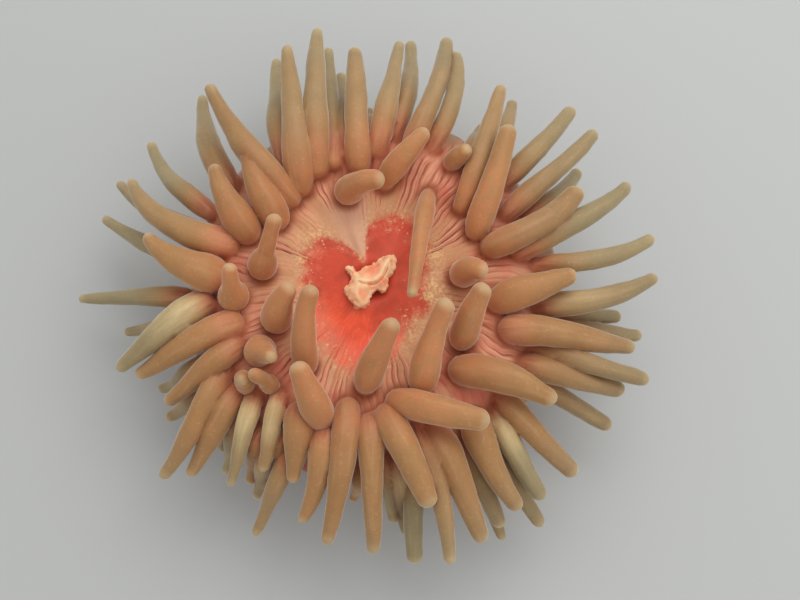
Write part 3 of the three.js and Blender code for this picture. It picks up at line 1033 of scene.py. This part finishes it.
def skinFields(board):
    # the values kept with the skin, its place, and the unevenness that its parts share
    names = (*plainFields, *zones[1:], "crease", "touch")
    at = {name: board.value(name) for name in names}
    at["spot"] = board.add("ShaderNodeTexCoord").outputs["Object"]
    at["x"], at["y"], at["z"] = board.add("ShaderNodeSeparateXYZ", {0: at["spot"]}).outputs
    squared = board.timesPlus(at["x"], at["x"], board.times(at["y"], at["y"]))
    at["radius"] = board.math("SQRT", squared)
    at["bearing"] = board.math("ARCTAN2", at["y"], at["x"])
    for name in ("mottle", "grain", "blotch", "patches"):
        at[name] = board.noise(at["spot"], *sharedLook[name])
    at["joining"] = board.between(at["crease"], sharedLook["joining"])
    return at


# the root colour where tentacle and crown meet, partly painted shade in the crease
def joinColour(board, at):
    outer = board.between(at["radius"], sharedLook["joinOuter"])
    colour = board.mix(outer, linear("join"), linear("joinOuter"))
    return board.coat(colour, "joinLow", board.between(at["z"], sharedLook["joinLow"]))


tentacleLook = {
    "blotchReach": 0.03,
    "shaft": (0.06, 0.095),  # radius
    "outer": (0.098, 0.132),
    "outerRoots": (0.048, 0.062),
    "sandy": (0.45, 0.68, 0.5),
    "rootPink": (0.24, 0.0),  # share of the length
    "rootPinkShare": 0.75,
    "toneTurn": 9.0,  # keeps the patterns of two tentacles apart
    "foldNoise": (2.6, 2.0, 0.5),
    "folds": (0.48, 0.6),
    "foldAlong": (0.2, 0.02),
    "foldShare": 0.5,
    "pale": (0.05, 0.45),
    "fibreNoise": (1.6, 3.0, 0.6),
    "fibres": (0.52, 0.72, 0.24),
    "speckNoise": (1.3, 2, 0.6),
    "specks": (0.6, 0.7, 0.3),
    "creamIn": (0.02, 0.2),
    "creamOut": (0.68, 0.2),
    "streaks": (0.35, 0.65),
    "streakDepth": (0.45, 0.4),
    "tip": (0.88, 1.0, 0.55),
}


def tentacleColour(board, at, join):
    # browner at the root, and the paler the further out
    look, along, between = tentacleLook, at["along"], board.between
    spread = board.timesPlus(at["blotch"], look["blotchReach"], at["radius"])
    colour = board.mix(between(spread, look["shaft"]), linear("inner"), linear("shaft"))
    colour = board.coat(colour, "outer", between(spread, look["outer"]))
    colour = board.coat(colour, "sandy", between(at["patches"], look["sandy"]))
    outer = between(at["radius"], look["outerRoots"])
    pink = between(along, look["rootPink"])
    colour = board.coat(colour, "rootPink", pink, outer, look["rootPinkShare"])
    # folds and fibres run lengthwise on the round shaft; near the root the folds are darkened,
    # partly painted shade in their grooves
    length = board.timesPlus(at["tone"], look["toneTurn"], along)
    onShaft = {0: at["roundX"], 1: at["roundY"], 2: length}
    onShaft = board.add("ShaderNodeCombineXYZ", onShaft).outputs[0]
    folds = between(board.texture(onShaft, *look["foldNoise"]), look["folds"])
    folds = board.times(folds, between(along, look["foldAlong"]), outer)
    # dark fold grooves at the root, partly painted shade
    colour = board.coat(colour, "groove", folds, look["foldShare"])
    colour = board.coat(colour, "paleShaft", at["pale"], between(along, look["pale"]))
    fibres = board.texture(onShaft, *look["fibreNoise"])
    colour = board.coat(colour, "fibre", between(fibres, look["fibres"]))
    specks = board.noise(at["spot"], *look["speckNoise"])
    colour = board.coat(colour, "fibre", between(specks, look["specks"]))
    # the bright cream band, partly a painted highlight along the shaft
    cream = board.times(at["cream"], between(along, look["creamIn"]))
    cream = board.times(cream, between(along, look["creamOut"]), clamp=True)
    streaks = board.timesPlus(between(fibres, look["streaks"]), *look["streakDepth"])
    colour = board.coat(colour, "streakAndHighlight", cream, streaks)
    colour = board.coat(colour, "tip", between(along, look["tip"]))
    return board.mix(at["joining"], colour, join), folds


discLook = {
    "groove": (0.24, 0.47),  # distance from a crest, in pleats
    "fineShift": 0.25,
    "fineGroove": (0.2, 0.48, 0.45),
    "crest": (0.034, 0.056),  # radius
    "rim": (0.062, 0.07),
    "foldPink": 0.8,
    # pale crests, partly a painted highlight
    "foldPaleAndHighlight": 0.6,
    "flushNoise": (13, 2),
    "flush": (0.44, 0.62),
    "flushRadius": (0.036, 0.048),
    "flushShare": 0.7,
    "notchBeside": (0.42, 0.08),  # radians
    "notchRadius": (0.042, 0.03),
    "notchShare": 0.6,
    "grit": (0.9, 0.05),
    "grains": (0.47, 0.58),
    "gritInside": (-18.0, -3.0),  # millimetres inside the red field
}


def pleatLines(board, at):
    # the crests and the thin dark grooves, with finer grooves halfway between those; the crests'
    # paleness is partly a painted highlight and the grooves' dark partly painted shade
    look, pleat = discLook, at["pleat"]
    phase = board.timesPlus(at["bearing"], crown["pleats"]["count"] / math.tau, at["stray"])
    toGroove = board.gap(board.math("FRACT", phase), 0.5)
    halfway = board.math("FRACT", board.timesPlus(phase, 2.0, look["fineShift"]))
    fine = board.between(board.gap(halfway, 0.5), look["fineGroove"])
    groove = board.math("MAXIMUM", board.between(toGroove, look["groove"]), fine)
    fold = board.times(board.math("SUBTRACT", 1.0, groove), pleat)
    return fold, board.times(groove, pleat)


def discColour(board, at, fold, groove):
    # pale skin with pink folds, their crests paler with a partly painted highlight and their
    # grooves darker with partly painted shade, a flush further out, and cream grit round the red
    # field
    look, radius, between = discLook, at["radius"], board.between
    colour = board.mix(between(radius, look["crest"]), linear("disc"), linear("crest"))
    colour = board.coat(colour, "rim", between(radius, look["rim"]))
    pink = board.times(at["pleat"], look["foldPink"], clamp=True)
    colour = board.coat(colour, "foldPink", pink)
    # the crests paler, partly a painted highlight
    colour = board.coat(colour, "foldPaleAndHighlight", fold, look["foldPaleAndHighlight"])
    flush = between(board.noise(at["spot"], *look["flushNoise"]), look["flush"])
    flush = board.times(flush, between(radius, look["flushRadius"]))
    colour = board.coat(colour, "foldRed", flush, look["flushShare"])
    # the grooves darker, partly painted shade
    colour = board.coat(colour, "groove", groove)
    beside = board.gap(at["bearing"], math.radians(crown["notch"]["bearing"]))
    notch = board.times(between(beside, look["notchBeside"]), between(radius, look["notchRadius"]))
    colour = board.coat(colour, "notch", notch, look["notchShare"])
    grit = board.timesPlus(at["grit"], *look["grit"], clamp=True)
    grit = board.times(grit, between(at["grain"], look["grains"]))
    return board.coat(colour, "speckle", grit, between(at["red"], look["gritInside"]))


# The red field round the mouth. What lies "inside" goes by the millimetres inside its edge
centreLook = {
    "edgeNoise": (3.5, 6, 0.7),
    "edgeStray": 13.0,
    "edgeShift": 6.5,
    "edge": (-3.5, 2.5),
    # the way and reach of the painted light on the red field
    "litSideWay": (-0.31, -0.95),  # as x and y
    "bright": (0.006, 0.022),
    "rayScale": (0.02, 0.12),  # round and outwards
    "rayNoise": (0.5, 4, 0.65),
    "rays": (0.52, 0.68),
    "rayDepth": (0.5, 0.08),
    "deepNoise": (11, 2),
    "deep": (0.45, 0.62, 0.45),
    "fadedInside": (14.0, 2.0),
    "fadedShare": 0.6,
    "dusty": (0.42, 0.66),
    "dustyInside": (11.0, 1.0),
    "dustyShare": 0.7,
    "fleckNoise": (1.5, 3, 0.7),
    "flecks": (0.58, 0.66),
    "fleckInside": ((10.0, 3.0), (-7.0, -2.0)),
    "fleckShare": 0.75,
}


def centreColour(board, at):
    # fine bright rays, and painted light on the lower side that brightens the red, its rays and its
    # paler edge
    look, red, between = centreLook, at["red"], board.between
    wayX, wayY = look["litSideWay"]
    down = board.timesPlus(at["x"], wayX, board.times(at["y"], wayY))
    lit = between(down, look["bright"])
    colour = board.mix(lit, linear("red"), linear("redPaintedLight"))
    roundwards, outwards = look["rayScale"]
    onRays = {0: board.times(at["bearing"], roundwards), 1: board.times(at["radius"], outwards)}
    onRays = board.add("ShaderNodeCombineXYZ", onRays).outputs[0]
    rays = between(board.noise(onRays, *look["rayNoise"]), look["rays"])
    colour = board.coat(colour, "redLine", rays, board.timesPlus(lit, *look["rayDepth"]))
    deep = board.noise(at["spot"], *look["deepNoise"])
    colour = board.coat(colour, "redDeep", between(deep, look["deep"]))
    # a paler edge where the painted light falls
    fading = board.times(lit, look["fadedShare"])
    colour = board.coat(colour, "redFaded", between(red, look["fadedInside"]), fading)
    dusty = board.times(between(at["patches"], look["dusty"]), between(red, look["dustyInside"]))
    return board.coat(colour, "redDusty", dusty, look["dustyShare"])


def crownColour(board, at, fold, groove, join):
    look, red, between = centreLook, at["red"], board.between
    colour = discColour(board, at, fold, groove)
    inside = board.math("SUBTRACT", red, look["edgeShift"])
    edge = board.noise(at["spot"], *look["edgeNoise"])
    inside = board.timesPlus(edge, look["edgeStray"], inside)
    colour = board.mix(between(inside, look["edge"]), colour, centreColour(board, at))
    flecks = between(board.noise(at["spot"], *look["fleckNoise"]), look["flecks"])
    flecks = board.times(flecks, *(between(red, ends) for ends in look["fleckInside"]))
    colour = board.coat(colour, "speckle", flecks, look["fleckShare"])
    # the root colour, partly painted crease shade, near the tentacles
    return board.mix(board.times(at["joining"], sharedLook["joinOnCrown"]), colour, join)


columnLook = {
    "wartScale": 1 / (4.6 * mm),
    "wartRandomness": 0.8,
    "warts": (0.36, 0.12),
    "wartPatches": (0.35, 0.6),
    "wartShare": 0.5,
}


def columnColour(board, at):
    look = columnLook
    cells = {
        "Vector": at["spot"],
        "Scale": look["wartScale"],
        "Randomness": look["wartRandomness"],
    }
    cells = board.add("ShaderNodeTexVoronoi", cells).outputs["Distance"]
    patches = board.between(at["mottle"], look["wartPatches"])
    warts = board.times(board.between(cells, look["warts"]), patches)
    colour = board.mix(at["blotch"], linear("column"), linear("join"))
    return board.coat(colour, "wart", warts, look["wartShare"]), warts


lipLook = {"slit": (0.0, 0.12), "flap": 0.85, "deep": (0.5, 0.75), "ridge": 0.6}


def lipColour(board, at):
    slit = board.between(at["along"], lipLook["slit"])
    colour = board.mix(slit, linear("lipDeep"), linear("lip"))
    flap = board.times(at["flap"], lipLook["flap"], clamp=True)
    colour = board.coat(colour, "lipDeep", flap)
    colour = board.coat(colour, "lipDeep", board.between(at["patches"], lipLook["deep"]))
    return board.coat(colour, "lipRidge", at["ridge"], lipLook["ridge"])


# How far the unevenness lightens and darkens the skin and stands out in the bump, and its sheen
surfaceLook = {
    "lipEdge": (0.3, 0.7),
    "mottleShade": (0.3, 0.79),
    "shades": {"grain": (0.14, 0.02), "tone": (0.12, 0.06)},
    # painted shade where two parts come close
    "touch": (0.05, 0.95),
    "grainBump": 0.5,
    "dentSize": 2.6,
    "wartBump": 1.6,
    "foldBump": 1.6,
    "rootFoldBump": -1.2,
    "bumpStrength": 0.35,
    "bumpHeight": 0.4 * mm,
    "roughness": (0.2, 0.4),
    "specular": 0.3,
    "scatter": 0.5,
    "scatterReach": 3 * mm,
    "scatterColours": (1.0, 0.55, 0.38),
    "sheen": 0.8,
    "sheenRoughness": 0.35,
    "sheenTint": (1, 0.92, 0.8, 1),
}


def shaded(board, at, colour):
    # lighter and darker with the unevenness, and painted shade where parts meet
    shade = board.timesPlus(at["mottle"], *surfaceLook["mottleShade"])
    for field, (depth, less) in surfaceLook["shades"].items():
        shade = board.timesPlus(at[field], depth, board.math("SUBTRACT", shade, less))
    grey = board.add("ShaderNodeCombineColor", {0: shade, 1: shade, 2: shade})
    colour = board.mix(1.0, colour, grey.outputs[0], "MULTIPLY")
    touch = board.between(at["touch"], surfaceLook["touch"])
    return board.mix(touch, colour, linear("contactShadeColour"), "MULTIPLY")


def skinRelief(board, at, fold, rootFolds, warts):
    look = surfaceLook
    dents = board.times(board.noise(at["spot"], look["dentSize"]), look["grainBump"])
    height = board.timesPlus(at["grain"], look["grainBump"], dents)
    wartHeight = board.times(warts, at["column"], look["wartBump"])
    height = board.math("ADD", height, wartHeight)
    height = board.timesPlus(fold, look["foldBump"], height)
    rootFolds = board.times(rootFolds, at["tentacle"])
    relief = {
        "Strength": look["bumpStrength"],
        "Distance": look["bumpHeight"],
        "Height": board.timesPlus(rootFolds, look["rootFoldBump"], height),
    }
    return board.add("ShaderNodeBump", relief).outputs[0]


def skinMaterial():
    material = bpy.data.materials.new("anemoneFlesh")
    material.use_nodes = True
    tree = material.node_tree
    tree.nodes.clear()
    board = Board(tree)
    at = skinFields(board)
    join = joinColour(board, at)
    onTentacles, rootFolds = tentacleColour(board, at, join)
    fold, groove = pleatLines(board, at)
    onColumn, warts = columnColour(board, at)
    colour = board.mix(at["below"], crownColour(board, at, fold, groove, join), onColumn)
    colour = board.mix(at["tentacle"], colour, onTentacles)
    isLip = board.between(at["lip"], surfaceLook["lipEdge"])
    colour = board.mix(isLip, colour, lipColour(board, at))
    surface = board.add(
        "ShaderNodeBsdfPrincipled",
        {
            "Base Color": shaded(board, at, colour),
            "Roughness": board.timesPlus(at["mottle"], *surfaceLook["roughness"]),
            "Specular IOR Level": surfaceLook["specular"],
            "Subsurface Weight": surfaceLook["scatter"],
            "Subsurface Radius": surfaceLook["scatterColours"],
            "Subsurface Scale": surfaceLook["scatterReach"],
            "Sheen Weight": surfaceLook["sheen"],
            "Sheen Roughness": surfaceLook["sheenRoughness"],
            "Sheen Tint": surfaceLook["sheenTint"],
            "Normal": skinRelief(board, at, fold, rootFolds, warts),
        },
    )
    output = board.add("ShaderNodeOutputMaterial")
    tree.links.new(surface.outputs[0], output.inputs[0])
    print("flesh coloured")
    return material


# A pale floor and soft lights
studio = {
    "floorSize": 6,
    "floorColour": (0.5, 0.51, 0.5, 1),
    "floorRoughness": 0.8,
    "lights": [
        {"place": (0.2, 0.45, 0.8), "size": 0.7, "power": 4.0},
        {"place": (0.5, -0.35, 0.6), "size": 0.9, "power": 1.2},
    ],
    "skyColour": (1, 1, 1, 1),
    "skyStrength": 0.63,
}


def addStudio():
    bpy.ops.object.select_all(action="DESELECT")
    bpy.ops.mesh.primitive_plane_add(size=studio["floorSize"])
    floor = bpy.context.object
    floor.name = "floor"
    material = bpy.data.materials.new("paleFloor")
    material.use_nodes = True
    shader = material.node_tree.nodes["Principled BSDF"]
    shader.inputs["Base Color"].default_value = studio["floorColour"]
    shader.inputs["Roughness"].default_value = studio["floorRoughness"]
    floor.data.materials.append(material)
    for light in studio["lights"]:
        bpy.ops.object.light_add(type="AREA", location=light["place"])
        lamp = bpy.context.object
        lamp.data.energy = light["power"]
        lamp.data.size = light["size"]
        lamp.rotation_euler = (-Vector(light["place"])).to_track_quat("-Z", "Y").to_euler()
    world = bpy.data.worlds.new("softSky")
    bpy.context.scene.world = world
    world.use_nodes = True
    sky = world.node_tree.nodes["Background"]
    sky.inputs["Color"].default_value = studio["skyColour"]
    sky.inputs["Strength"].default_value = studio["skyStrength"]
    bpy.context.scene.view_settings.view_transform = "Standard"
    print("studio ready")


addCamera()
skin = buildSkin()
skin.data.materials.clear()
skin.data.materials.append(skinMaterial())
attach(skin, "root")
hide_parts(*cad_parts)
addStudio()
